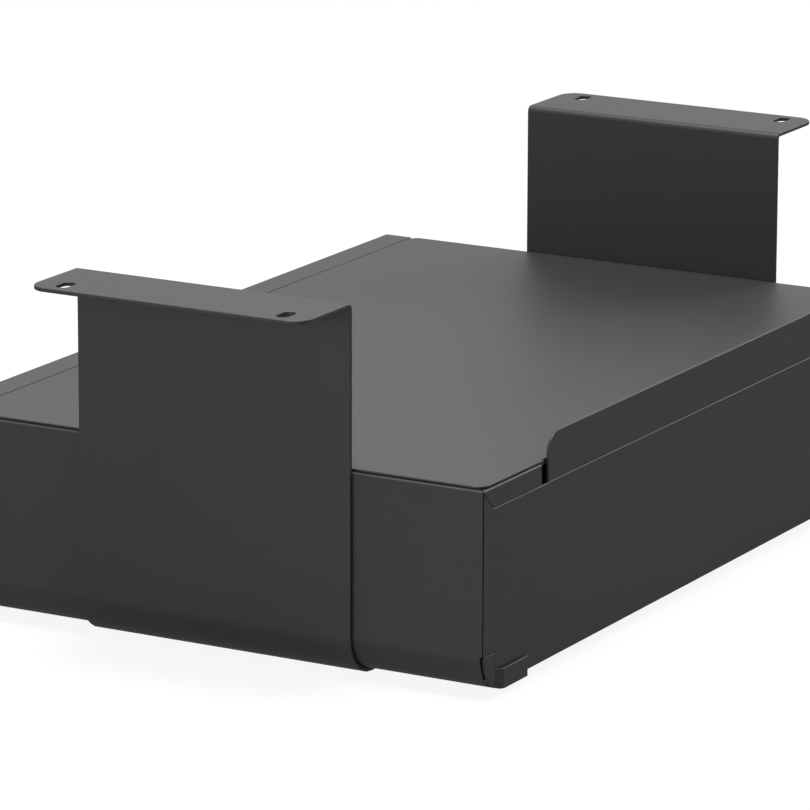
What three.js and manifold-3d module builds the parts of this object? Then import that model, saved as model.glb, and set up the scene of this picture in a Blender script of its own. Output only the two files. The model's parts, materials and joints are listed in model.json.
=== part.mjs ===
// Under-desk cable tray: a lidded sheet-steel box carried in a hanger strap.
//
// Frame: millimetres, +Z up. The origin is the centre of the outline on the hanger's underside,
// X runs across the tray from the cable-inlet wall to the access flap, Y runs along the tray.
// "Near" pieces are at -Y and "far" pieces are at +Y.

import * as THREE from 'three';
import { mergeVertices } from 'three/addons/utils/BufferGeometryUtils.js';
import Module from 'manifold-3d';

const manifold = await Module();
manifold.setup();

// ---------------------------------------------------------------- driving dimensions
const SHEET = 2.1;                  // 2 mm steel with its powder coat on both sides
const STRAP_SHEET = 2.7;            // the hanger's 2.5 mm steel, coated
const LID_SHEET = 1.6;              // the lid's 1.5 mm steel, coated
const REST_GAP = 0.3;               // space left where two pieces rest on each other

const HANGER_WIDTH = 200;
const HANGER_LENGTH = 605.5;        // over the outer faces of the two drop plates
const HANGER_HEIGHT = 243.6;        // underside to the desk
const FLANGE_REACH = 59;            // desk flange, from the drop plate's outer face
const FLANGE_BEND = 4;              // outer radius
const FLANGE_CORNER = 13;
const HANGER_BEND = 28;             // outer radius where the strap turns under the tray

const SLOT_WIDTH = 9;
const SLOT_LENGTH = 16;
const SLOT_EDGE = 14.7;             // slot centre to the flange's free edge
const SLOT_PITCH = 160;

const BOX_WIDTH = 409.2;
const BOX_LENGTH = 599.4;
const BOX_HEIGHT = 132;             // floor underside to the top of the rim
const BOX_LIFT = 3;                 // floor underside above the hanger's underside
const BOX_BEND = 25;                // outer radius between the floor and the end walls
const HANGER_INSET = 93.1;          // hanger's edge to the box's flap face
const RIM_BEND = 1.2;
const RIM_DEPTH = 20;               // inward flange along the end walls
const LEFT_RIM_DEPTH = 32;
const CORNER_GAP = 0.4;             // half of the open mitre at the flap face's corners
const WEDGE_PAST_RIM = 2;           // how far the mitre cut runs past the rim's inner edge

const LID_SETBACK = 2.6;            // lid's ends, from the end walls
const LID_SHY = 1.6;                // lid's edge, from the flap's face
const LID_CORNER = 8;
const LID_LEFT = 23;                // lid's edge to the inlet face
const LID_PLAY = 0.5;               // lid's edge to the back of the lip
const LIP_NOTCH = 218.8;            // half of the lid's notch for the lip
const STRIP_GAP = 1;
const STRIP_EDGE = 1.5;             // strip's edge, from the inlet face
const STRIP_SETBACK = 3.6;           // strip's ends, from the end walls

const RAIL_DEPTH = 26;
const RAIL_LEG = 12;
const BAND_HEIGHT = 13.3;
const FACE_STEP = 0.3;              // band and lip stand this far behind the flap's face
const MITRE_GAP = 0.8;              // upright width of the slit at a band's mitred end
const BAND_END = 223.2;             // where each band stops, from the middle
const LIP_HALF = 214.3;
const LIP_RISE = 17.9;              // above the rim
const LIP_CORNER = 14;
const LIP_JOGGLE = 2;               // height over which the flap steps back to the lip
const FLAP_SEAM = 0.3;              // between the band and the flap below it
const FLAP_LIFT = 2.8;              // flap's bottom edge above the floor's underside

const EAR_WIDTH = 16.2;
const EAR_HEIGHT = 25.2;
const EAR_RELIEF = 2.5;             // how far the ear stands back from the end wall's face
const BRIDGE_WIDTH = 4;             // weld bridge between ear and end wall, at 45 degrees
const BRIDGE_SINK = 0.2;            // bridge's surfaces below those around it
const JOGGLE_LENGTH = 6.5;
const JOGGLE_RADIUS = 1.5;
const NOTCH_SLOPE = 1.5;            // rise of the tab's top edge along the joggle
const TAB_LENGTH = 32;
const TAB_HEIGHT = 13.4;
const TAB_CLEARANCE = 0.3;          // flap's face to the tab's inner face
const FLOOR_SETBACK = 5.2;          // lets the flap's bottom edge swing inward

const INLET_WIDTH = 92;
const INLET_HEIGHT = 38;
const INLET_PITCH = 180;
const GROMMET_LIP = 4;              // how far the grommet's flanges reach over the sheet
const GROMMET_PROUD = 2;
const GROMMET_WALL = 2.5;

const FIXING_PITCH_X = 120;
const FIXING_PITCH_Y = 420;
const STUD_WIDTH = 4.7;              // M5 weld stud, measured over a plain shank
const STUD_FLANGE = 6.5;
const STUD_FLANGE_HEIGHT = 1;
const STUD_TOP = 15;                // stud's end above the hanger's underside
const STUD_CHAMFER = 0.8;
const FLOOR_BORE = 7.4;             // lets the stud's flange through the tray's floor
const NUT_BORE = 5.3;
const NUT_FLATS = 8;
const NUT_HEIGHT = 4;
const WASHER_WIDTH = 18;
const WASHER_THICKNESS = 1.5;

const MAGNET_SIZE = [11, 46, 13];
const MAGNET_PLACE = 120;
const POLE_SIZE = [1.4, 40, 5];
const MAGNET_GAP = 0.5;             // magnet's face to the back of the lip

const EARTH_WIDTH = 6;              // M6 weld stud for the protective earth
const EARTH_HEIGHT = 16;
const EARTH_FOOT = 1;               // thickness of its welded foot
const EARTH_CHAMFER = 1;
const EARTH_INSET = [40, 60];       // from the inlet face and from the near end wall
const EARTH_NUT_FLATS = 10;
const EARTH_NUT_HEIGHT = 5;
const EARTH_WASHER_HEIGHT = 1;

const ROUND_STEPS = 28;             // sides of a turned piece
const BEND_STEPS = 7;               // chords in a sheet bend
const CUT = 40;                     // reach of a cutter past the faces it goes through
const SHALLOW_CUT = 10;             // the same, where the next wall is near
const TANGENT_SHY = 0.001;          // mm kept off an exact tangent, so that outlines stay simple
const INLET_DROP = 0.52;            // inlet's centre below the rim, as a share of the height

// ---------------------------------------------------------------- places worked out from them
const TAB_PROUD = TAB_CLEARANCE + SHEET;
const OUTLINE_WIDTH = BOX_WIDTH + TAB_PROUD + GROMMET_PROUD;
const BOX_LEFT = GROMMET_PROUD - OUTLINE_WIDTH / 2;
const BOX_RIGHT = BOX_LEFT + BOX_WIDTH;
const BOX_END = BOX_LENGTH / 2;
const RIM_TOP = BOX_LIFT + BOX_HEIGHT;
const FLOOR_TOP = BOX_LIFT + SHEET;
const HANGER_RIGHT = BOX_RIGHT - HANGER_INSET;
const HANGER_LEFT = HANGER_RIGHT - HANGER_WIDTH;
const HANGER_END = HANGER_LENGTH / 2;
const HANGER_MIDDLE = (HANGER_LEFT + HANGER_RIGHT) / 2;
const FLANGE_END = HANGER_END + FLANGE_REACH;
const SLOT_PLACE = FLANGE_END - SLOT_EDGE;
const LID_BOTTOM = RIM_TOP + REST_GAP;
const LID_TOP = LID_BOTTOM + LID_SHEET;
const LIP_BACK = BOX_RIGHT - SHEET - FACE_STEP;
const FLAP_TOP = RIM_TOP - BAND_HEIGHT - FLAP_SEAM;
const FLAP_BOTTOM = BOX_LIFT + FLAP_LIFT;
const EAR_INNER = BOX_END - EAR_WIDTH;
const BEND_END = BOX_END - BOX_BEND;
const TAB_OUTER = EAR_INNER - JOGGLE_LENGTH;
const TAB_INNER = TAB_OUTER - TAB_LENGTH;
const INLET_CENTRE = RIM_TOP - INLET_DROP * BOX_HEIGHT;
const LID_RIGHT = BOX_RIGHT - LID_SHY;
const NOTCH_BACK = LIP_BACK - LID_PLAY;
const SHELL_LEFT = BOX_LEFT + SHEET + REST_GAP;
const EARTH_WASHER_BOTTOM = FLOOR_TOP + EARTH_FOOT + 2 * REST_GAP;

// ---------------------------------------------------------------- finishes
function finish(color, roughness, metalness) {
  return new THREE.MeshStandardMaterial({ color, roughness, metalness });
}


const COAT = finish(0x37383a, 0.42, 0.15);
const ZINC = finish(0xa9adb0, 0.35, 0.9);
const RUBBER = finish(0x161617, 0.8, 0);
const PLASTIC = finish(0x232426, 0.55, 0);

// ---------------------------------------------------------------- outlines
const point = (x, y) => new THREE.Vector2(x, y);

// A polyline whose corners are rounded: corners are [x, y, radius], the two ends stay sharp.
function roundedPath(corners, steps = BEND_STEPS) {
  const points = [];
  corners.forEach(([x, y, radius], index) => {
    const here = point(x, y);
    const isEnd = index === 0 || index === corners.length - 1;
    if (isEnd || !radius) {
      points.push(here);
      return;
    }
    const before = point(...corners[index - 1]).sub(here).normalize();
    const after = point(...corners[index + 1]).sub(here).normalize();
    const half = Math.acos(before.dot(after)) / 2;
    const centre = before.clone().add(after).normalize().multiplyScalar(radius / Math.sin(half)).add(here);
    const start = before.clone().multiplyScalar(radius / Math.tan(half)).add(here).sub(centre);
    const turn = (Math.PI - 2 * half) * Math.sign(after.cross(before));
    for (let step = 0; step <= steps; step += 1) {
      points.push(start.clone().rotateAround(point(0, 0), (turn * step) / steps).add(centre));
    }
  });
  return points;
}

// The same corners moved sideways: distance is positive to the left of the direction of travel.
function offsetCorners(corners, distance) {
  const direction = (from, to) => point(to[0] - from[0], to[1] - from[1]).normalize();
  return corners.map((corner, index) => {
    const into = direction(corners[Math.max(index - 1, 0)], corners[Math.max(index, 1)]);
    const last = corners.length - 1;
    const out = direction(corners[Math.min(index, last - 1)], corners[Math.min(index + 1, last)]);
    const normal = point(-into.y - out.y, into.x + out.x).normalize();
    const reach = distance / Math.cos(Math.asin(into.cross(out)) / 2);
    const radius = corner[2] ? Math.max(corner[2] - distance * Math.sign(into.cross(out)), 0) : 0;
    return [corner[0] + normal.x * reach, corner[1] + normal.y * reach, radius];
  });
}

// The closed outline of a folded sheet: one face along the corners, the other a thickness away.
function foldedSheet(corners, thickness) {
  const face = roundedPath(corners);
  const back = roundedPath(offsetCorners(corners, thickness));
  return new THREE.Shape([...face, ...back.reverse()]);
}

function roundedRectangle(x0, y0, x1, y1, radius, steps = BEND_STEPS) {
  const middle = (x0 + x1) / 2;
  const corners = [[middle, y0], [x1, y0, radius], [x1, y1, radius], [x0, y1, radius], [x0, y0, radius]];
  return new THREE.Shape(roundedPath([...corners, [middle, y0]], steps).slice(0, -1));
}

function rectangle(x0, y0, x1, y1) {
  return new THREE.Shape([point(x0, y0), point(x1, y0), point(x1, y1), point(x0, y1)]);
}

const circle = (x, y, diameter) => new THREE.Shape().absarc(x, y, diameter / 2, 0, 2 * Math.PI);

// A slot with round ends, its length along the outline's second axis.
const slot = (x, y, width, length) => roundedRectangle(
  x - width / 2, y - length / 2, x + width / 2, y + length / 2, width / 2 - TANGENT_SHY);

// ---------------------------------------------------------------- solids
function asSolid(geometry) {
  const bare = geometry.clone();
  bare.deleteAttribute('normal');
  bare.deleteAttribute('uv');
  const merged = mergeVertices(bare, 1e-5);
  const mesh = new manifold.Mesh({
    numProp: 3,
    vertProperties: new Float32Array(merged.attributes.position.array),
    triVerts: new Uint32Array(merged.index.array),
  });
  return new manifold.Manifold(mesh);
}

function extrude(shape, depth) {
  return new THREE.ExtrudeGeometry(shape, { depth, bevelEnabled: false, curveSegments: ROUND_STEPS / 2 });
}

const AXES = {
  X: [new THREE.Vector3(0, 1, 0), new THREE.Vector3(0, 0, 1), new THREE.Vector3(1, 0, 0)],
  Y: [new THREE.Vector3(1, 0, 0), new THREE.Vector3(0, 0, 1), new THREE.Vector3(0, -1, 0)],
  Z: [new THREE.Vector3(1, 0, 0), new THREE.Vector3(0, 1, 0), new THREE.Vector3(0, 0, 1)],
};

// A prism along one axis: outlines are (y, z) for X, (x, z) for Y and (x, y) for Z.
function prism(axis, shape, low, high) {
  const geometry = extrude(shape, high - low);
  geometry.applyMatrix4(new THREE.Matrix4().makeBasis(...AXES[axis]));
  const start = axis === 'Y' ? -high : low;
  return asSolid(geometry.translate(...AXES[axis][2].clone().multiplyScalar(start).toArray()));
}

const block = (x0, x1, y0, y1, z0, z1) => prism('Z', rectangle(x0, y0, x1, y1), z0, z1);
const rod = (x, y, diameter, z0, z1) => prism('Z', circle(x, y, diameter), z0, z1);

// A turned piece standing on the axis through (x, y): the profile is [radius, z] pairs.
function turned(profile, x, y) {
  const points = profile.map(([radius, z]) => point(radius, z));
  const geometry = new THREE.LatheGeometry(points, ROUND_STEPS);
  return asSolid(geometry.rotateX(Math.PI / 2).translate(x, y, 0));
}

function mesh(name, solid, material) {
  const { vertProperties, triVerts } = solid.getMesh();
  const geometry = new THREE.BufferGeometry();
  geometry.setAttribute('position', new THREE.BufferAttribute(new Float32Array(vertProperties), 3));
  geometry.setIndex(new THREE.BufferAttribute(new Uint32Array(triVerts), 1));
  geometry.computeVertexNormals();
  const piece = new THREE.Mesh(geometry, material);
  piece.name = name;
  return piece;
}

const ENDS = [['near', -1], ['far', 1]];

// The same solid at the tray's other end: Y changes sign and each triangle turns round.
function mirrored(solid) {
  const { vertProperties, triVerts } = solid.getMesh();
  const vertices = vertProperties.map((value, index) => (index % 3 === 1 ? -value : value));
  const triangles = triVerts.slice();
  for (let first = 0; first < triangles.length; first += 3) {
    [triangles[first], triangles[first + 1]] = [triangles[first + 1], triangles[first]];
  }
  const reflected = new manifold.Mesh({ numProp: 3, vertProperties: vertices, triVerts: triangles });
  return new manifold.Manifold(reflected);
}

const bothEnds = (solid) => solid.add(mirrored(solid));

// ---------------------------------------------------------------- hanger strap
// One strap: desk flange, drop plate, floor under the tray, drop plate, desk flange.
function hangerStrap() {
  const plate = HANGER_END - STRAP_SHEET;
  const corners = [
    [-FLANGE_END, HANGER_HEIGHT],
    [-plate, HANGER_HEIGHT, FLANGE_BEND],
    [-plate, STRAP_SHEET, HANGER_BEND - STRAP_SHEET],
    [plate, STRAP_SHEET, HANGER_BEND - STRAP_SHEET],
    [plate, HANGER_HEIGHT, FLANGE_BEND],
    [FLANGE_END, HANGER_HEIGHT],
  ];
  let strap = prism('X', foldedSheet(corners, -STRAP_SHEET), HANGER_LEFT, HANGER_RIGHT);
  const plan = roundedRectangle(HANGER_LEFT, -FLANGE_END, HANGER_RIGHT, FLANGE_END, FLANGE_CORNER);
  strap = strap.intersect(prism('Z', plan, -CUT, HANGER_HEIGHT + CUT));
  for (const [, side] of ENDS) {
    for (const step of [-0.5, 0.5]) {
      const outline = slot(HANGER_MIDDLE + step * SLOT_PITCH, side * SLOT_PLACE, SLOT_WIDTH, SLOT_LENGTH);
      strap = strap.subtract(prism('Z', outline, HANGER_HEIGHT - SHALLOW_CUT, HANGER_HEIGHT + CUT));
    }
  }
  return strap;
}

function fixingPlaces() {
  const places = [];
  for (const x of [-0.5, 0.5]) {
    for (const y of [-0.5, 0.5]) {
      places.push([HANGER_MIDDLE + x * FIXING_PITCH_X, y * FIXING_PITCH_Y]);
    }
  }
  return places;
}

// ---------------------------------------------------------------- tray shell
// The space beyond the near corner's vertical 45 degree mitre plane, up to a length along Y. The
// end wall keeps clear of it, and the rail and the flap keep inside it.
function beyondMitre(shift, length) {
  return prism('Z', new THREE.Shape([
    point(BOX_RIGHT + CUT, -BOX_END + shift - CUT),
    point(BOX_RIGHT + CUT, -BOX_END + length),
    point(BOX_RIGHT + shift - length, -BOX_END + length),
  ]), -CUT, HANGER_HEIGHT);
}

function betweenMitres() {
  const space = beyondMitre(CORNER_GAP, BOX_LENGTH + CUT);
  return space.intersect(mirrored(space));
}

// The outline in (y, z) of the box's section at a depth inside its outer faces, from one rim's
// edge round under the floor to the other rim's edge.
function sectionCorners(depth) {
  const end = BOX_END - depth;
  const bend = BOX_BEND - depth;
  return [
    [-end + RIM_DEPTH, RIM_TOP],
    [-end, RIM_TOP, RIM_BEND],
    [-end, BOX_LIFT + depth, bend],
    [end, BOX_LIFT + depth, bend],
    [end, RIM_TOP, RIM_BEND],
    [end - RIM_DEPTH, RIM_TOP],
  ];
}

// The fixed ear at the near lower corner: a flush plate that steps out into a tab, so that the
// flap's edge has a pocket behind the tab. The tab is folded up from a tongue of the floor, on
// which the flap stands, and the ear is welded to the end wall's bend by a bridge at 45 degrees.
function pocketEar() {
  const plan = foldedSheet([
    [BOX_RIGHT, -BOX_END],
    [BOX_RIGHT, -EAR_INNER, JOGGLE_RADIUS],
    [BOX_RIGHT + TAB_PROUD, -TAB_OUTER, SHEET + JOGGLE_RADIUS],
    [BOX_RIGHT + TAB_PROUD, -TAB_INNER],
  ], SHEET);
  const face = new THREE.Shape(roundedPath([
    [-BOX_END + EAR_RELIEF, BOX_LIFT + EAR_HEIGHT],
    [-BOX_END + EAR_RELIEF, BOX_LIFT, BOX_BEND - EAR_RELIEF],
    [-TAB_INNER, BOX_LIFT],
    [-TAB_INNER, BOX_LIFT + TAB_HEIGHT],
    [-TAB_OUTER, BOX_LIFT + TAB_HEIGHT],
    [-EAR_INNER, BOX_LIFT + TAB_HEIGHT + NOTCH_SLOPE],
    [-EAR_INNER, BOX_LIFT + EAR_HEIGHT],
  ]));
  const plate = prism('Z', plan, BOX_LIFT, BOX_LIFT + EAR_HEIGHT);
  const ear = plate.intersect(prism('X', face, BOX_RIGHT - CUT, BOX_RIGHT + CUT));
  const edge = BOX_RIGHT + TAB_PROUD;
  const tongue = block(BOX_RIGHT - FLOOR_SETBACK, edge, -BEND_END, -TAB_INNER, BOX_LIFT, FLOOR_TOP);
  return ear.add(tongue).add(weldBridge());
}

function weldBridge() {
  const middle = BOX_BEND * (1 - Math.SQRT1_2) + BRIDGE_SINK;
  const start = point(-BOX_END + middle, BOX_LIFT + middle);
  const along = point(Math.SQRT1_2, Math.SQRT1_2);
  const across = point(-Math.SQRT1_2, Math.SQRT1_2).multiplyScalar(BRIDGE_WIDTH / 2);
  const end = start.clone().addScaledVector(along, SHEET + EAR_RELIEF);
  const outline = [
    start.clone().add(across),
    start.clone().sub(across),
    end.clone().sub(across),
    end.clone().add(across),
  ];
  const inner = BOX_RIGHT - 2 * SHEET;
  return prism('X', new THREE.Shape(outline), inner, BOX_RIGHT - BRIDGE_SINK);
}

// What is cut from the shell at the near end of the flap face: the mitre above the ear, and the
// step in the end wall and its bend, which leaves room for the ear.
function cornerCut() {
  const earTop = BOX_LIFT + EAR_HEIGHT;
  const above = block(BOX_LEFT, BOX_RIGHT + CUT, -BOX_END - CUT, BOX_END, earTop, RIM_TOP + CUT);
  const mitre = beyondMitre(-CORNER_GAP, RIM_DEPTH + WEDGE_PAST_RIM).intersect(above);
  const inner = BOX_RIGHT - SHEET - REST_GAP;
  const slit = earTop + REST_GAP;
  const step = block(inner, BOX_RIGHT + CUT, -BOX_END - CUT, -BEND_END, -CUT, slit);
  return mitre.add(step);
}

// Floor, end walls and inward rims, folded from one sheet, with a pocket ear at each flap corner.
function trayShell() {
  let shell = prism('X', foldedSheet(sectionCorners(0), SHEET), SHELL_LEFT, BOX_RIGHT);
  const setback = BOX_RIGHT - FLOOR_SETBACK;
  shell = shell.subtract(bothEnds(cornerCut()));
  shell = shell.subtract(block(setback, BOX_RIGHT + CUT, -TAB_INNER, TAB_INNER, -CUT, CUT));
  shell = shell.add(bothEnds(pocketEar()));
  for (const [x, y] of fixingPlaces()) {
    shell = shell.subtract(rod(x, y, FLOOR_BORE, -CUT, SHALLOW_CUT));
  }
  return shell;
}

// ---------------------------------------------------------------- inlet wall
const inletPlaces = () => [-INLET_PITCH, 0, INLET_PITCH];

// An inlet's outline in (y, z), grown outward by a margin.
function inletOutline(y, margin) {
  const half = INLET_HEIGHT / 2 + margin;
  const reach = INLET_WIDTH / 2 + margin;
  const round = half - TANGENT_SHY;
  return roundedRectangle(y - reach, INLET_CENTRE - half, y + reach, INLET_CENTRE + half, round);
}

// The plate that closes the shell's left end, with three cable inlets and a rim folded inward
// between the shell's own rims.
function inletWall() {
  const corners = sectionCorners(0).slice(1, -1);
  const outline = roundedPath([[0, RIM_TOP], ...corners, [0, RIM_TOP]]).slice(0, -1);
  let wall = prism('X', new THREE.Shape(outline), BOX_LEFT, BOX_LEFT + SHEET);
  const rimEnd = BOX_END - RIM_DEPTH - REST_GAP;
  const rimFoot = RIM_TOP - 2 * RIM_BEND;
  const rim = foldedSheet([
    [BOX_LEFT + LEFT_RIM_DEPTH, RIM_TOP],
    [BOX_LEFT, RIM_TOP, RIM_BEND],
    [BOX_LEFT, rimFoot],
  ], SHEET);
  wall = wall.subtract(block(BOX_LEFT - CUT, SHELL_LEFT, -rimEnd, rimEnd, rimFoot, RIM_TOP + CUT));
  wall = wall.add(prism('Y', rim, -rimEnd, rimEnd));
  for (const y of inletPlaces()) {
    wall = wall.subtract(prism('X', inletOutline(y, 0), BOX_LEFT - CUT, BOX_LEFT + SHALLOW_CUT));
  }
  return wall;
}

// Rubber edge guard of an inlet: a collar through the sheet between two flanges.
function inletGrommet(y) {
  const margin = -REST_GAP;
  const back = BOX_LEFT + SHEET + GROMMET_PROUD;
  const front = BOX_LEFT - GROMMET_PROUD;
  const collar = prism('X', inletOutline(y, margin), front, back);
  const outer = prism('X', inletOutline(y, GROMMET_LIP), front, BOX_LEFT - REST_GAP);
  const inner = prism('X', inletOutline(y, GROMMET_LIP), BOX_LEFT + SHEET + REST_GAP, back);
  const hole = inletOutline(y, margin - GROMMET_WALL);
  const mouth = prism('X', hole, front - SHALLOW_CUT, back + SHALLOW_CUT);
  return collar.add(outer).add(inner).subtract(mouth);
}

// ---------------------------------------------------------------- rim rail at the flap face
// A channel under the lid's edge. Its outer leg shows as a band at each end of the face, and it
// is cut back between the bands so that the flap's lip can stand there.
function rimRail() {
  const face = BOX_RIGHT - FACE_STEP;
  const section = [
    [face - RAIL_DEPTH, RIM_TOP - RAIL_LEG],
    [face - RAIL_DEPTH, RIM_TOP, RIM_BEND],
    [face, RIM_TOP, RIM_BEND],
    [face, RIM_TOP - BAND_HEIGHT],
  ];
  let rail = prism('Y', foldedSheet(section, -SHEET), -BOX_END, BOX_END);
  rail = rail.intersect(betweenMitres());
  rail = rail.subtract(block(NOTCH_BACK, BOX_RIGHT + CUT, -BAND_END, BAND_END, 0, RIM_TOP + CUT));
  const mitre = prism('X', new THREE.Shape([
    point(-BOX_END - CUT, RIM_TOP + CUT),
    point(-BOX_END - CUT, -CUT),
    point(-BOX_END + RIM_TOP + CUT, -CUT),
  ]), LIP_BACK - TANGENT_SHY, BOX_RIGHT + CUT);
  return rail.subtract(bothEnds(mitre));
}

// ---------------------------------------------------------------- lid
function lidStrip() {
  const y = BOX_END - STRIP_SETBACK;
  return block(BOX_LEFT + STRIP_EDGE, BOX_LEFT + LID_LEFT - STRIP_GAP, -y, y, LID_BOTTOM, LID_TOP);
}

// The lid's edge is notched where the flap's lip stands.
function lidPanel() {
  const y = BOX_END - LID_SETBACK;
  const plan = roundedRectangle(BOX_LEFT + LID_LEFT, -y, LID_RIGHT, y, LID_CORNER);
  const notch = block(NOTCH_BACK, BOX_RIGHT + CUT, -LIP_NOTCH, LIP_NOTCH, 0, HANGER_HEIGHT);
  return prism('Z', plan, LID_BOTTOM, LID_TOP).subtract(notch);
}

// ---------------------------------------------------------------- access flap
// Half of the flap's outline in (y, z), from the middle of its bottom edge round to the middle of
// the lip, at the near end.
function flapHalf() {
  const side = -BOX_END;
  const notch = -TAB_OUTER + REST_GAP;
  const notchTop = BOX_LIFT + TAB_HEIGHT + REST_GAP;
  const ear = -EAR_INNER + REST_GAP;
  const earTop = BOX_LIFT + EAR_HEIGHT + REST_GAP;
  return [
    [0, FLAP_BOTTOM],
    [notch, FLAP_BOTTOM],
    [notch, notchTop],
    [ear, notchTop + NOTCH_SLOPE],
    [ear, earTop],
    [side, earTop],
    [side, RIM_TOP - MITRE_GAP],
    [side + BAND_HEIGHT + FLAP_SEAM - MITRE_GAP, FLAP_TOP],
    [-LIP_HALF, FLAP_TOP],
    [-LIP_HALF, RIM_TOP + LIP_RISE, LIP_CORNER],
    [0, RIM_TOP + LIP_RISE],
  ];
}

// The flap is one plate whose lip steps back behind the panel's face.
function accessFlap() {
  const half = roundedPath(flapHalf()).slice(1, -1);
  const other = half.map(({ x, y }) => point(-x, y)).reverse();
  const outline = new THREE.Shape([...half, ...other]);
  const plate = prism('X', outline, BOX_RIGHT - SHEET - FACE_STEP, BOX_RIGHT);
  const past = BOX_RIGHT + CUT;
  const lipFace = block(BOX_RIGHT - FACE_STEP, past, -BAND_END, BAND_END, FLAP_TOP, RIM_TOP + CUT);
  const backEnd = BOX_END + CUT;
  const back = BOX_RIGHT - SHEET;
  const panelBack = block(back - CUT, back, -backEnd, backEnd, -CUT, FLAP_TOP - LIP_JOGGLE);
  return plate.subtract(lipFace).subtract(panelBack).intersect(betweenMitres());
}

// ---------------------------------------------------------------- fixings and fittings
// Weld stud on the hanger's floor: it comes up through the tray's floor.
function hangerStud(x, y) {
  const bottom = STRAP_SHEET + REST_GAP;
  const shoulder = bottom + STUD_FLANGE_HEIGHT;
  const radius = STUD_WIDTH / 2;
  return turned([
    [0, bottom],
    [STUD_FLANGE / 2, bottom],
    [STUD_FLANGE / 2, shoulder],
    [radius, shoulder],
    [radius, STUD_TOP - STUD_CHAMFER],
    [radius - STUD_CHAMFER, STUD_TOP],
    [0, STUD_TOP],
  ], x, y);
}

function hangerWasher(x, y) {
  const bottom = FLOOR_TOP + REST_GAP;
  const ring = rod(x, y, WASHER_WIDTH, bottom, bottom + WASHER_THICKNESS);
  return ring.subtract(rod(x, y, NUT_BORE, -CUT, CUT));
}

function hangerNut(x, y) {
  const bottom = FLOOR_TOP + WASHER_THICKNESS + 2 * REST_GAP;
  const nut = hexagon(x, y, NUT_FLATS, bottom, bottom + NUT_HEIGHT);
  return nut.subtract(rod(x, y, NUT_BORE, -CUT, CUT));
}

// A hexagonal prism, given its width across the flats.
function hexagon(x, y, flats, z0, z1) {
  const corners = [];
  for (let corner = 0; corner < 6; corner += 1) {
    const angle = (corner * Math.PI) / 3;
    const radius = flats / Math.sqrt(3);
    corners.push(point(x + radius * Math.cos(angle), y + radius * Math.sin(angle)));
  }
  return prism('Z', new THREE.Shape(corners), z0, z1);
}

// A block behind the lip: its front face is MAGNET_GAP off the lip, less a depth.
function behindLip(side, [depth, length, height], margin) {
  const face = LIP_BACK - MAGNET_GAP;
  const y = side * MAGNET_PLACE;
  const middle = RIM_TOP - SHEET - REST_GAP - MAGNET_SIZE[2] / 2;
  const front = margin ? face + CUT : face;
  const reach = length / 2 + margin;
  const rise = height / 2 + margin;
  return block(face - depth - margin, front, y - reach, y + reach, middle - rise, middle + rise);
}

// Magnet housing under the rim rail, with a recess for its steel pole plate.
function magnetCatch(side) {
  return behindLip(side, MAGNET_SIZE, 0).subtract(behindLip(side, POLE_SIZE, REST_GAP));
}

const polePlate = (side) => behindLip(side, POLE_SIZE, 0);

const earthPlace = [BOX_LEFT + EARTH_INSET[0], -BOX_END + EARTH_INSET[1]];
const earthBore = () => rod(...earthPlace, EARTH_WIDTH + 2 * REST_GAP, -CUT, CUT);

function earthStud() {
  const bottom = FLOOR_TOP + REST_GAP;
  const radius = EARTH_WIDTH / 2;
  return turned([
    [0, bottom],
    [EARTH_WIDTH, bottom],
    [EARTH_WIDTH, bottom + EARTH_FOOT],
    [radius, bottom + EARTH_FOOT],
    [radius, bottom + EARTH_HEIGHT - EARTH_CHAMFER],
    [radius - EARTH_CHAMFER, bottom + EARTH_HEIGHT],
    [0, bottom + EARTH_HEIGHT],
  ], ...earthPlace);
}

function earthWasher() {
  const top = EARTH_WASHER_BOTTOM + EARTH_WASHER_HEIGHT;
  return rod(...earthPlace, 2 * EARTH_WIDTH, EARTH_WASHER_BOTTOM, top).subtract(earthBore());
}

function earthNut() {
  const bottom = EARTH_WASHER_BOTTOM + EARTH_WASHER_HEIGHT + REST_GAP;
  const nut = hexagon(...earthPlace, EARTH_NUT_FLATS, bottom, bottom + EARTH_NUT_HEIGHT);
  return nut.subtract(earthBore());
}

// ---------------------------------------------------------------- the assembly
const tray = new THREE.Group();
tray.add(mesh('hanger_strap', hangerStrap(), COAT));
tray.add(mesh('tray_shell', trayShell(), COAT));
tray.add(mesh('inlet_wall', inletWall(), COAT));
tray.add(mesh('rim_rail', rimRail(), COAT));
tray.add(mesh('lid_stop_strip', lidStrip(), COAT));
tray.add(mesh('lid_panel', lidPanel(), COAT));
tray.add(mesh('access_flap', accessFlap(), COAT));

['near', 'middle', 'far'].forEach((place, index) => {
  tray.add(mesh(`inlet_grommet_${place}`, inletGrommet(inletPlaces()[index]), RUBBER));
});

fixingPlaces().forEach(([x, y], index) => {
  tray.add(mesh(`hanger_stud_${index + 1}`, hangerStud(x, y), ZINC));
  tray.add(mesh(`hanger_washer_${index + 1}`, hangerWasher(x, y), ZINC));
  tray.add(mesh(`hanger_nut_${index + 1}`, hangerNut(x, y), ZINC));
});

for (const [end, side] of ENDS) {
  tray.add(mesh(`magnet_catch_${end}`, magnetCatch(side), PLASTIC));
  tray.add(mesh(`magnet_pole_plate_${end}`, polePlate(side), ZINC));
}

tray.add(mesh('earth_stud', earthStud(), ZINC));
tray.add(mesh('earth_washer', earthWasher(), ZINC));
tray.add(mesh('earth_nut', earthNut(), ZINC));

export default tray;
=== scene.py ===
"""Under-desk cable tray: formed steel sheets in a satin black powder coat, on a pale studio floor."""

import json
import math

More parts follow.
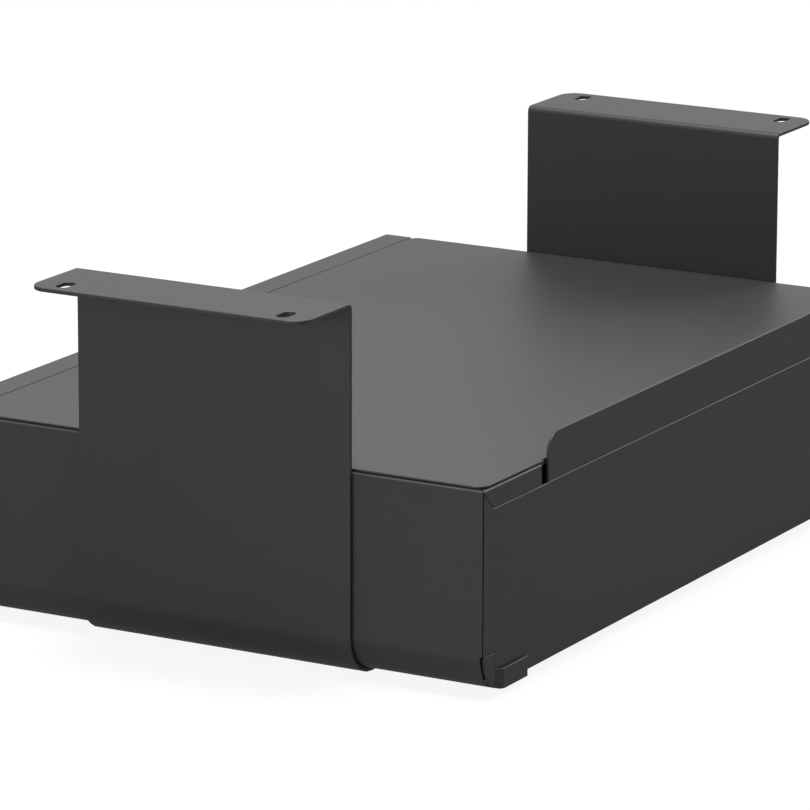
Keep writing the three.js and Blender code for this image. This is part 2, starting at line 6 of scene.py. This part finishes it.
import bmesh
import bpy
import numpy as np
from mathutils import Matrix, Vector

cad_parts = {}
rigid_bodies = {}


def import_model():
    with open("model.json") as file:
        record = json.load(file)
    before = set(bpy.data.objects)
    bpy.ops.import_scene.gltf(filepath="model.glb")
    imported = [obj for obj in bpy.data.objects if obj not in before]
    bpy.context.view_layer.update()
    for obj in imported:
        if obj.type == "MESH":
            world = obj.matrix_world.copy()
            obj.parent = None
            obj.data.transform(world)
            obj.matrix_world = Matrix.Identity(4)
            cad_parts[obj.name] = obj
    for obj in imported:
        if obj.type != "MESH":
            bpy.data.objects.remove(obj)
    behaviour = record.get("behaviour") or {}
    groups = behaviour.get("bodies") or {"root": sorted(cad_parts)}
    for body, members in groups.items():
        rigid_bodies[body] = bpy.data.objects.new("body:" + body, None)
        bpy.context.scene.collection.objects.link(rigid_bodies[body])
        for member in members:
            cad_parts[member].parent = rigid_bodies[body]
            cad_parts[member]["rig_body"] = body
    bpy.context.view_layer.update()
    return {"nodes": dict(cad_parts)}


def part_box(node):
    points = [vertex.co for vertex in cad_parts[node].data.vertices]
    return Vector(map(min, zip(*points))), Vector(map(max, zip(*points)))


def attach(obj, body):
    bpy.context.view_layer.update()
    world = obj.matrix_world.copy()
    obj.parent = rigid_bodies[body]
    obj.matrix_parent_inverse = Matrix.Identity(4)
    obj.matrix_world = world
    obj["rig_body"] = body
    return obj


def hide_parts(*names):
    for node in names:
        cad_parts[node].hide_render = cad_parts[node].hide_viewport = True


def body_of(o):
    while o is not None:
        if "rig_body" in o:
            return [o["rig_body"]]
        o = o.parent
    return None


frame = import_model()

# Lengths are in metres and powers in watts.

# ---------------------------------------------------------------- view and studio
CAMERA_PLACE = (1.85575, -3.32674, 1.06623)
CAMERA_RIGHT = (0.87071745, 0.49177743, 0.00246691)
CAMERA_UP = (-0.12318928, 0.2132512, 0.96919984)
CAMERA_BACK = (0.47610453, -0.84420311, 0.24626325)
CAMERA_LENS = 258.25
SENSOR = 36

FLOOR_SIZE = 40
FLOOR_DROP = 0.0004             # keeps the floor clear of the underside
FLOOR_COLOUR = (0.8, 0.8, 0.8)
FLOOR_SEEN = 0.9                # how much of the floor's brightness the camera gets as plain white
FLOOR_GLOSS = 0.3               # brightness of the floor in the coat's reflections
SKY_HIGH = 0.175                 # brightness of the sky above the backdrop, which itself is white
BACKDROP_TOP = 0.648             # sine of the elevation where the white backdrop starts to fade
BACKDROP_FADE = 0.3
BACKDROP_SIDE = (-0.49, 0.87, 0.0)
SIDE_FADE = 0.5                 # cosine over which the backdrop fades at its sides
TOP_POWER = 134                 # overhead soft box
TOP_SIZE = 1.0
TOP_PLACE = (0.0, -0.3, 3.0)
RIM_POWER = 40                  # soft box behind on the right, which lights the folds of the flap side
RIM_SIZE = 1.2
RIM_PLACE = (0.95, 3.05, 1.75)
KEY_POWER = 25                  # soft box in front
KEY_SIZE = 1.6
KEY_PLACE = (-0.15, -2.5, 0.45)

# Finishes: sizes of their patterns in metres, bump heights in metres, and their colours.
COAT_CLOUD = 0.12
COAT_PEEL = 0.0035
COAT_GRAIN = 0.0009
COAT_RELIEF = 0.00002
COAT_DARK = 0.010
COAT_LIGHT = 0.0234
COAT_ROUGHNESS = 0.453
COAT_CLOUD_ROUGHNESS = 0.05
COAT_GRAIN_ROUGHNESS = 0.06
COAT_IOR = 1.5
ZINC_CLOUD = 0.004
ZINC_GRAIN = 0.0004
ZINC_RELIEF = 0.00001
ZINC_BUMP = 0.6
ZINC_DARK = (0.52, 0.54, 0.55, 1)
ZINC_LIGHT = (0.68, 0.69, 0.68, 1)
ZINC_ROUGHNESS = 0.28
ZINC_CLOUD_ROUGHNESS = 0.2
RUBBER_BLOOM = 0.02
RUBBER_GRAIN = 0.0006
RUBBER_RELIEF = 0.00004
RUBBER_DARK = (0.012, 0.012, 0.012, 1)
RUBBER_LIGHT = (0.024, 0.024, 0.023, 1)
RUBBER_ROUGHNESS = 0.6
RUBBER_BLOOM_ROUGHNESS = 0.2
RUBBER_IOR = 1.45
HOUSING_SPARK = 0.0005
HOUSING_CLOUD = 0.02
HOUSING_RELIEF = 0.00003
HOUSING_DARK = (0.014, 0.014, 0.015, 1)
HOUSING_LIGHT = (0.022, 0.022, 0.023, 1)
HOUSING_ROUGHNESS = 0.45
HOUSING_SPARK_ROUGHNESS = 0.15
HOUSING_IOR = 1.48
FLOOR_PATCH = 0.6               # size of the floor paint's patches
FLOOR_PATCH_SHADE = 0.985


MERGE = 1e-6                    # points closer than this are one
FLAT_ANGLE = math.radians(0.4)  # faces that turn less than this are one flat face
RIM_ANGLE = math.radians(35)    # edges sharper than this are rounded
RIM_STEPS = 3
FACE_WEIGHT = 100               # how strongly large faces set the shading at their edges
# Radius of the rounded rims, by the start of a node's name.
RIMS = {
    "hanger_strap": 0.0006,
    "tray_shell": 0.0005,
    "rim_rail": 0.0004,
    "lid_stop_strip": 0.0004,
    "lid_panel": 0.0004,
    "access_flap": 0.0006,
    "magnet_catch": 0.0005,
    "magnet_pole": 0.0002,
    "hanger_washer": 0.0002,
    "hanger_nut": 0.0003,
    "earth_washer": 0.0002,
    "earth_nut": 0.0003,
}

GROMMET_FLANGE = 0.0017         # thickness of a grommet's two flanges
GROMMET_GROOVE = 0.0043         # depth of its groove, from the rim
GROMMET_WALL = 0.0068           # from its rim to its mouth
GROMMET_CORNERS = (0.0008, 0.0004, 0.0012)      # eased corners at the rim, groove and mouth
CORNER_STEPS = 6
END_STEPS = 33

THREAD_PITCH = 0.0008
THREAD_DEPTH = 0.0004
THREAD_SIDES = 48
THREAD_ROWS = 220
STUD_CHAMFER = 0.0007
FOOT_ROUND = 0.0002
STUD_FOOT = 0.001               # height of a stud's weld foot
HANGER_ROD = 0.00235            # thread's outer radius
EARTH_ROD = 0.003


class Value:
    """A socket's number in a node tree. Sums and products with it add Math nodes."""

    def __init__(self, tree, socket):
        self.tree = tree
        self.socket = socket

    def math(self, operation, left, right):
        return self.tree.node("ShaderNodeMath", {"operation": operation}, {0: left, 1: right})

    def __add__(self, other):
        return self.math("ADD", self, other)

    def __sub__(self, other):
        return self.math("SUBTRACT", self, other)

    def __mul__(self, other):
        return self.math("MULTIPLY", self, other)

    def __rsub__(self, other):
        return self.math("SUBTRACT", other, self)

    __radd__ = __add__
    __rmul__ = __mul__


class Tree:
    """The node tree of a material or of the world."""

    def __init__(self, owner):
        owner.use_nodes = True
        self.nodes = owner.node_tree.nodes
        self.links = owner.node_tree.links
        self.nodes.clear()

    def node(self, kind, settings=None, inputs=None, output=0):
        """Adds a node, sets it, fills its sockets with numbers or links, and returns an output."""
        made = self.nodes.new(kind)
        for name, setting in (settings or {}).items():
            setattr(made, name, setting)
        for name, filling in (inputs or {}).items():
            if isinstance(filling, Value):
                self.links.new(filling.socket, made.inputs[name])
            else:
                made.inputs[name].default_value = filling
        return Value(self, made.outputs[output]) if made.outputs else None

    def noise(self, place, size, detail=2.0, roughness=0.5):
        """Soft noise from 0 to 1 whose lumps are about a size across, in metres."""
        inputs = {"Vector": place, "Scale": 1 / size, "Detail": detail, "Roughness": roughness}
        return self.node("ShaderNodeTexNoise", {}, inputs, "Fac")

    def mix(self, share, first, second):
        """A colour between two colours."""
        settings = {"data_type": "RGBA"}
        return self.node("ShaderNodeMix", settings, {0: share, 6: first, 7: second}, 2)

    def bump(self, height, distance, strength=1.0):
        """A normal bent by a height whose full range is a distance in metres."""
        inputs = {"Strength": strength, "Distance": distance, "Height": height}
        return self.node("ShaderNodeBump", {}, inputs)

    def surface(self, colour, roughness, normal, constants):
        """The main surface shader, with some sockets set to constants."""
        inputs = {"Base Color": colour, "Roughness": roughness, "Normal": normal}
        return self.node("ShaderNodeBsdfPrincipled", {}, {**inputs, **constants})


def finish(name, build):
    """A material whose shader comes from a function of its tree and its Object coordinates."""
    material = bpy.data.materials.new(name)
    tree = Tree(material)
    place = tree.node("ShaderNodeTexCoord", output="Object")
    tree.node("ShaderNodeOutputMaterial", {}, {"Surface": build(tree, place)})
    return material


def coat_shader(tree, place):
    """Satin powder coat: orange peel, fine grain and faint clouds."""
    cloud = tree.noise(place, COAT_CLOUD, 3)
    peel = tree.noise(place, COAT_PEEL, 2)
    grain = tree.noise(place, COAT_GRAIN, 3)
    dark, light = (COAT_DARK,) * 3 + (1,), (COAT_LIGHT,) * 3 + (1,)
    colour = tree.mix(cloud * 0.5 + grain * 0.5, dark, light)
    roughness = COAT_ROUGHNESS + cloud * COAT_CLOUD_ROUGHNESS + grain * COAT_GRAIN_ROUGHNESS
    normal = tree.bump(peel * 0.6 + grain * 0.4, COAT_RELIEF)
    return tree.surface(colour, roughness, normal, {"IOR": COAT_IOR})


def zinc_shader(tree, place):
    """Bright zinc plate: cloudy grey metal with a fine grain."""
    cloud = tree.noise(place, ZINC_CLOUD, 3)
    grain = tree.noise(place, ZINC_GRAIN, 2)
    colour = tree.mix(cloud, ZINC_DARK, ZINC_LIGHT)
    roughness = ZINC_ROUGHNESS + cloud * ZINC_CLOUD_ROUGHNESS
    normal = tree.bump(grain, ZINC_RELIEF, ZINC_BUMP)
    return tree.surface(colour, roughness, normal, {"Metallic": 1.0})


def rubber_shader(tree, place):
    """Black rubber: matt, with a moulded grain and a dusty bloom."""
    bloom = tree.noise(place, RUBBER_BLOOM, 3)
    grain = tree.noise(place, RUBBER_GRAIN, 2)
    colour = tree.mix(bloom, RUBBER_DARK, RUBBER_LIGHT)
    roughness = RUBBER_ROUGHNESS + bloom * RUBBER_BLOOM_ROUGHNESS
    return tree.surface(colour, roughness, tree.bump(grain, RUBBER_RELIEF), {"IOR": RUBBER_IOR})


def plastic_shader(tree, place):
    """Moulded plastic: spark-eroded texture on dark grey."""
    spark = tree.noise(place, HOUSING_SPARK, 2)
    cloud = tree.noise(place, HOUSING_CLOUD, 2)
    colour = tree.mix(cloud, HOUSING_DARK, HOUSING_LIGHT)
    roughness = HOUSING_ROUGHNESS + spark * HOUSING_SPARK_ROUGHNESS
    return tree.surface(colour, roughness, tree.bump(spark, HOUSING_RELIEF), {"IOR": HOUSING_IOR})


FINISHES = {
    "powder_coat": finish("powder_coat", coat_shader),
    "zinc_plate": finish("zinc_plate", zinc_shader),
    "rubber": finish("rubber", rubber_shader),
    "magnet_housing": finish("magnet_housing", plastic_shader),
}

# The nodes that aren't powder coated, by the start of their names.
SLOTS = {
    "inlet_grommet": "rubber",
    "magnet_catch": "magnet_housing",
    "magnet_pole": "zinc_plate",
    "hanger_stud": "zinc_plate",
    "hanger_washer": "zinc_plate",
    "hanger_nut": "zinc_plate",
    "earth": "zinc_plate",
}


# ---------------------------------------------------------------- studio
def camera():
    """The camera, from its place and its three axes."""
    data = bpy.data.cameras.new("camera")
    data.lens = CAMERA_LENS
    data.sensor_width = SENSOR
    data.clip_end = 100
    made = bpy.data.objects.new("camera", data)
    made.matrix_world = Matrix.Translation(CAMERA_PLACE) @ Matrix(
        (CAMERA_RIGHT, CAMERA_UP, CAMERA_BACK)).transposed().to_4x4()
    bpy.context.scene.collection.objects.link(made)
    bpy.context.scene.camera = made


def floor_shader(tree, place):
    """Pale paint, seen by the camera as near white and by the coat as a calm grey."""
    seen = tree.node("ShaderNodeLightPath", output="Is Camera Ray")
    glossy = tree.node("ShaderNodeLightPath", output="Is Glossy Ray")
    patch = tree.noise(place, FLOOR_PATCH, 2)
    light, dark = FLOOR_COLOUR + (1,), tuple(c * FLOOR_PATCH_SHADE for c in FLOOR_COLOUR) + (1,)
    paint = tree.node("ShaderNodeBsdfDiffuse", {}, {"Color": tree.mix(patch, light, dark)})
    white = tree.node("ShaderNodeEmission", {}, {"Strength": 1.0})
    grey = tree.node("ShaderNodeEmission", {}, {"Strength": FLOOR_GLOSS})
    shown = tree.node("ShaderNodeMixShader", {}, {0: seen * FLOOR_SEEN, 1: paint, 2: white})
    return tree.node("ShaderNodeMixShader", {}, {0: glossy, 1: shown, 2: grey})


def floor():
    """A flat square under the object."""
    half = FLOOR_SIZE / 2
    data = bpy.data.meshes.new("floor")
    corners = [(-half, -half, -FLOOR_DROP), (half, -half, -FLOOR_DROP),
               (half, half, -FLOOR_DROP), (-half, half, -FLOOR_DROP)]
    data.from_pydata(corners, [], [(0, 1, 2, 3)])
    data.materials.append(finish("floor_paint", floor_shader))
    made = bpy.data.objects.new("floor", data)
    bpy.context.scene.collection.objects.link(made)


def sky():
    """White behind the object, for the camera and in reflections, under a quieter sky."""
    world = bpy.data.worlds.new("studio")
    bpy.context.scene.world = world
    tree = Tree(world)
    path = "ShaderNodeLightPath"
    seen = tree.node(path, output="Is Camera Ray")
    through = tree.node(path, output="Is Transmission Ray")
    direction = tree.node("ShaderNodeTexCoord", output="Generated")
    rise = tree.node("ShaderNodeSeparateXYZ", {}, {0: direction}, "Z")
    fade = (BACKDROP_TOP + BACKDROP_FADE - rise) * (1 / BACKDROP_FADE)
    below = tree.node("ShaderNodeClamp", {}, {0: fade})
    dot = {"operation": "DOT_PRODUCT"}
    facing = tree.node("ShaderNodeVectorMath", dot, {0: direction, 1: BACKDROP_SIDE}, "Value")
    behind = tree.node("ShaderNodeClamp", {}, {0: facing * (1 / SIDE_FADE) + 0.5})
    strength = 1 - (1 - below * behind) * (1 - seen) * (1 - through) * (1 - SKY_HIGH)
    light = tree.node("ShaderNodeBackground", {}, {"Color": (1, 1, 1, 1), "Strength": strength})
    tree.node("ShaderNodeOutputWorld", {}, {"Surface": light})


def soft_box(name, place, size, power):
    """A round soft box that faces the object."""
    data = bpy.data.lights.new(name, "AREA")
    data.shape = "DISK"
    data.size = size
    data.energy = power
    made = bpy.data.objects.new(name, data)
    made.location = place
    made.rotation_mode = "QUATERNION"
    made.rotation_quaternion = made.location.to_track_quat("Z", "Y")
    bpy.context.scene.collection.objects.link(made)


def slot_of(node):
    """The record's material slot for a node."""
    return next((slot for start, slot in SLOTS.items() if node.startswith(start)), "powder_coat")


def dress(made, node):
    """Gives an object the finish of a node."""
    made.data.materials.clear()
    made.data.materials.append(FINISHES[slot_of(node)])


def rounded_copy(node, rim):
    """A node's own shape, merged, its flat faces made whole, and its sharp rims rounded."""
    data = frame["nodes"][node].data.copy()
    data.name = node + "_rounded"
    form = bmesh.new()
    form.from_mesh(data)
    bmesh.ops.remove_doubles(form, verts=form.verts, dist=MERGE)
    bmesh.ops.dissolve_limit(form, angle_limit=FLAT_ANGLE, verts=form.verts, edges=form.edges)
    form.to_mesh(data)
    form.free()
    if "custom_normal" in data.attributes:
        data.attributes.remove(data.attributes["custom_normal"])
    data.shade_smooth()
    made = stand_in(node, data)
    bevel = made.modifiers.new("rims", "BEVEL")
    bevel.width = rim
    bevel.segments = RIM_STEPS
    bevel.limit_method = "ANGLE"
    bevel.angle_limit = RIM_ANGLE
    bevel.use_clamp_overlap = False
    smooth = made.modifiers.new("flats", "WEIGHTED_NORMAL")
    smooth.mode = "FACE_AREA"
    smooth.weight = FACE_WEIGHT


def threaded_stud(node, foot_height, rod):
    """A stud with a rolled thread. At a height h and an angle a the radius is the rod's own less the
    thread's depth times how far h / pitch - a / (2 pi) is from a whole number, doubled, and the foot
    below is as wide as the node. Points are centre + (radius cos a, radius sin a, h)."""
    low, high = (np.array(corner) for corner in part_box(node))
    middle = (low + high) / 2
    foot = (high[0] - low[0]) / 2
    angle = np.linspace(0, 2 * np.pi, THREAD_SIDES, endpoint=False)
    height = np.linspace(foot_height, high[2] - low[2], THREAD_ROWS)[:, None]
    turn = height / THREAD_PITCH - angle / (2 * np.pi)
    valley = 2 * np.abs(turn - np.round(turn))
    left = high[2] - low[2] - height
    crest = np.minimum(rod, rod - STUD_CHAMFER + left)
    radius = np.minimum(crest, rod - THREAD_DEPTH * valley)
    edge = FOOT_ROUND
    rings = np.array([(0, 0), (foot - edge, 0), (foot, edge), (foot, foot_height - edge),
                      (foot - edge, foot_height), (rod, foot_height)])
    radius = np.vstack([np.repeat(rings[:, :1], THREAD_SIDES, 1), radius, np.zeros((1, THREAD_SIDES))])
    height = np.concatenate([rings[:, 1], height[:, 0], [high[2] - low[2]]])[:, None]
    points = np.stack([middle[0] + radius * np.cos(angle), middle[1] + radius * np.sin(angle),
                       low[2] + height + 0 * radius], 2)
    return replacement(node, "_threaded", points.reshape(-1, 3), wrapped_grid(*radius.shape))


def eased(corners, size):
    """A closed outline whose corners are eased: at t from 0 to 1 a point is
    (1 - t)^2 start + 2 t (1 - t) corner + t^2 end, with start and end a size from the corner."""
    back = np.roll(corners, 1, 0) - corners
    ahead = np.roll(corners, -1, 0) - corners
    start = corners + back / np.linalg.norm(back, axis=1, keepdims=True) * size[:, None]
    end = corners + ahead / np.linalg.norm(ahead, axis=1, keepdims=True) * size[:, None]
    t = np.linspace(0, 1, CORNER_STEPS)[:, None]
    outer = (1 - t) ** 2 * start[:, None] + t ** 2 * end[:, None]
    return (outer + 2 * t * (1 - t) * corners[:, None]).reshape(-1, 2)


def grommet(node):
    """A rubber grommet: its section carried round an obround. At an angle a and a radius r of the
    section a point is (x, y, z) = (section x, middle +- straight + r cos a, middle + r sin a)."""
    low, high = (np.array(corner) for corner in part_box(node))
    middle, half = (low + high) / 2, (high - low) / 2
    straight = half[1] - half[2]
    depth = high[0] - low[0]
    rim, groove, bore = half[2], half[2] - GROMMET_GROOVE, half[2] - GROMMET_WALL
    flange = GROMMET_FLANGE
    near = [(bore, 0), (rim, 0), (rim, flange), (groove, flange)]
    corners = np.array(near + [(radius, depth - across) for radius, across in near[::-1]])
    outer, inner, mouth = GROMMET_CORNERS
    size = np.array([mouth, outer, outer, inner, inner, outer, outer, mouth])
    section = eased(corners, size)
    section = np.vstack([section, section[:1]])
    half_turn = np.linspace(-np.pi / 2, np.pi / 2, END_STEPS)
    angle = np.concatenate([half_turn, half_turn + np.pi])
    side = np.repeat([straight, -straight], END_STEPS)
    radius, across = section[:, :1], section[:, 1:]
    points = np.stack([low[0] + across + 0 * angle, middle[1] + side + radius * np.cos(angle),
                       middle[2] + radius * np.sin(angle)], 2)
    return replacement(node, "_moulded", points.reshape(-1, 3), wrapped_grid(len(section), len(angle)))


def wrapped_grid(rows, sides):
    """The four-sided faces of rows of points, each row closed on itself."""
    row = np.arange(rows - 1)[:, None] * sides
    here = np.arange(sides)
    ahead = (here + 1) % sides
    return np.stack([row + here, row + ahead, row + sides + ahead, row + sides + here], 2).reshape(-1, 4)


def replacement(node, ending, points, faces):
    """A closed mesh that stands for a node, rides on its body and has its finish."""
    data = bpy.data.meshes.new(node + ending)
    data.from_pydata(points, [], faces.tolist())
    form = bmesh.new()
    form.from_mesh(data)
    bmesh.ops.remove_doubles(form, verts=form.verts, dist=MERGE)
    bmesh.ops.recalc_face_normals(form, faces=form.faces)
    form.to_mesh(data)
    form.free()
    data.shade_smooth()
    return stand_in(node, data)


def stand_in(node, data):
    """An object with this mesh in a node's place."""
    made = bpy.data.objects.new(data.name, data)
    bpy.context.scene.collection.objects.link(made)
    dress(made, node)
    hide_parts(node)
    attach(made, *body_of(frame["nodes"][node]))
    return made


camera()
floor()
sky()
soft_box("top_light", TOP_PLACE, TOP_SIZE, TOP_POWER)
soft_box("key_light", KEY_PLACE, KEY_SIZE, KEY_POWER)
soft_box("rim_light", RIM_PLACE, RIM_SIZE, RIM_POWER)
bpy.context.scene.view_settings.view_transform = "Standard"
for node, made in frame["nodes"].items():
    dress(made, node)
for node in sorted(frame["nodes"]):
    rim = next((rim for start, rim in RIMS.items() if node.startswith(start)), 0)
    if rim:
        rounded_copy(node, rim)
for number in range(1, 5):
    threaded_stud(f"hanger_stud_{number}", STUD_FOOT, HANGER_ROD)
threaded_stud("earth_stud", STUD_FOOT, EARTH_ROD)
for place in ("near", "middle", "far"):
    grommet("inlet_grommet_" + place)
